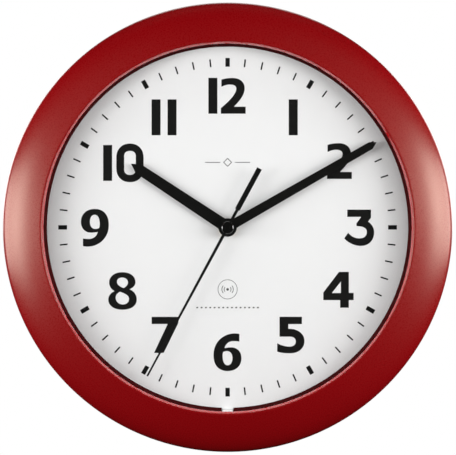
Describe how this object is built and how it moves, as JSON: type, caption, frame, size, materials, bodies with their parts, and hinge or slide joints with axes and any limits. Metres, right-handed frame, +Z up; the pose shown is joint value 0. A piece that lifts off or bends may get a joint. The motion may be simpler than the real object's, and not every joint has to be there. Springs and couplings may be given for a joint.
{
  "type": "wall clock",
  "caption": "Round analogue wall clock with a smooth red case ring, flat lens, white numeral dial, black hands and a radio-controlled battery movement on a keyhole hanger.",
  "frame": {"origin": "the point of the wall plane where the nail bears in the hanger's keyhole slot, 41 mm above the axis of the hands", "axes": "+Z up, +X to the right as the clock is read, +Y into the wall, so the dial faces -Y"},
  "size_m": [0.3, 0.04, 0.3],
  "materials": {
    "ring_dark": "dull dark maroon plastic, in the shade behind the lip",
    "case_red": "satin moulded red plastic with a broad soft highlight",
    "lens_clear": "clear, flat and polished",
    "dial_white": "matt white",
    "dial_print": "flat near-black screen print",
    "hand_black": "satin black paint",
    "screw_steel": "zinc plated",
    "brass": "turned brass",
    "rubber": "matt black rubber",
    "plated_steel": "nickel plated",
    "housing_black": "fine-textured black plastic",
    "gear_plastic": "natural acetal",
    "ferrite": "matt sintered ferrite",
    "copper_wire": "enamelled copper wire",
    "board_green": "green solder mask",
    "component_black": "moulded epoxy",
    "button_grey": "matt grey plastic",
    "battery_label": "printed film on a metal can"
  },
  "bodies": {
    "case": {"front_case": "case_red", "retaining_ring": "ring_dark", "lens": "lens_clear", "dial_plate": "dial_white", "dial_screw_1": "screw_steel", "dial_screw_2": "screw_steel", "dial_screw_3": "screw_steel", "dial_screw_4": "screw_steel", "dial_screw_5": "screw_steel", "dial_screw_6": "screw_steel", "fixing_nut": "brass", "threaded_bush": "brass", "rubber_washer": "rubber", "hanger_plate": "plated_steel", "movement_front_housing": "housing_black", "movement_rear_housing": "housing_black", "coil_bobbin": "gear_plastic", "stator_plate": "plated_steel", "coil_core": "plated_steel", "coil_winding": "copper_wire", "antenna_rod": "ferrite", "antenna_winding": "copper_wire", "circuit_board": "board_green", "driver_chip": "component_black", "quartz_crystal": "plated_steel", "capacitor": "component_black", "set_switch": "component_black", "receive_switch": "component_black", "reset_switch": "component_black", "positive_contact": "plated_steel", "spring_contact": "plated_steel"},
    "seconds": {"seconds_wheel": "gear_plastic", "second_hand": "hand_black", "centre_cap": "hand_black"},
    "minutes": {"minute_wheel": "gear_plastic", "minute_hand": "hand_black"},
    "hours": {"hour_wheel": "gear_plastic", "hour_hand": "hand_black"},
    "third": {"third_wheel": "gear_plastic"},
    "intermediate": {"intermediate_wheel": "gear_plastic"},
    "motion": {"motion_wheel": "gear_plastic"},
    "rotor": {"rotor_pinion": "gear_plastic", "rotor_magnet": "ferrite"},
    "set_key": {"set_button": "button_grey"},
    "receive_key": {"receive_button": "button_grey"},
    "reset_key": {"reset_button": "button_grey"},
    "battery": {"battery": "battery_label"}
  },
  "joints": [
    {"name": "seconds_spin", "type": "hinge", "parent": "case", "child": "seconds", "pos_m": [0, 0, -0.041], "axis": [0, 1, 0], "continuous": true},
    {"name": "intermediate_spin", "type": "hinge", "parent": "case", "child": "intermediate", "pos_m": [0.01187, 0, -0.04486], "axis": [0, 1, 0], "continuous": true},
    {"name": "rotor_spin", "type": "hinge", "parent": "case", "child": "rotor", "pos_m": [0.02019, 0, -0.04369], "axis": [0, 1, 0], "continuous": true},
    {"name": "third_spin", "type": "hinge", "parent": "case", "child": "third", "pos_m": [-0.01221, 0, -0.04185], "axis": [0, 1, 0], "continuous": true},
    {"name": "minute_spin", "type": "hinge", "parent": "case", "child": "minutes", "pos_m": [0, 0, -0.041], "axis": [0, 1, 0], "continuous": true},
    {"name": "motion_spin", "type": "hinge", "parent": "case", "child": "motion", "pos_m": [0, 0, -0.031], "axis": [0, 1, 0], "continuous": true},
    {"name": "hour_spin", "type": "hinge", "parent": "case", "child": "hours", "pos_m": [0, 0, -0.041], "axis": [0, 1, 0], "continuous": true},
    {"name": "set_press", "type": "slide", "parent": "case", "child": "set_key", "axis": [0, -1, 0], "range_m": [0, 0.0008], "stiffness_N_per_m": 400},
    {"name": "receive_press", "type": "slide", "parent": "case", "child": "receive_key", "axis": [0, -1, 0], "range_m": [0, 0.0008], "stiffness_N_per_m": 400},
    {"name": "reset_press", "type": "slide", "parent": "case", "child": "reset_key", "axis": [0, -1, 0], "range_m": [0, 0.0008], "stiffness_N_per_m": 400},
    {"name": "battery_slide", "type": "slide", "parent": "case", "child": "battery", "axis": [0, 1, 0], "range_m": [0, 0.02]}
  ],
  "couplings": [
    {"joint": "intermediate_spin", "follows": "seconds_spin", "ratio": -5},
    {"joint": "rotor_spin", "follows": "seconds_spin", "ratio": 30},
    {"joint": "third_spin", "follows": "seconds_spin", "ratio": -0.13333},
    {"joint": "minute_spin", "follows": "seconds_spin", "ratio": 0.016667},
    {"joint": "motion_spin", "follows": "seconds_spin", "ratio": -0.0055556},
    {"joint": "hour_spin", "follows": "seconds_spin", "ratio": 0.0013889}
  ]
}
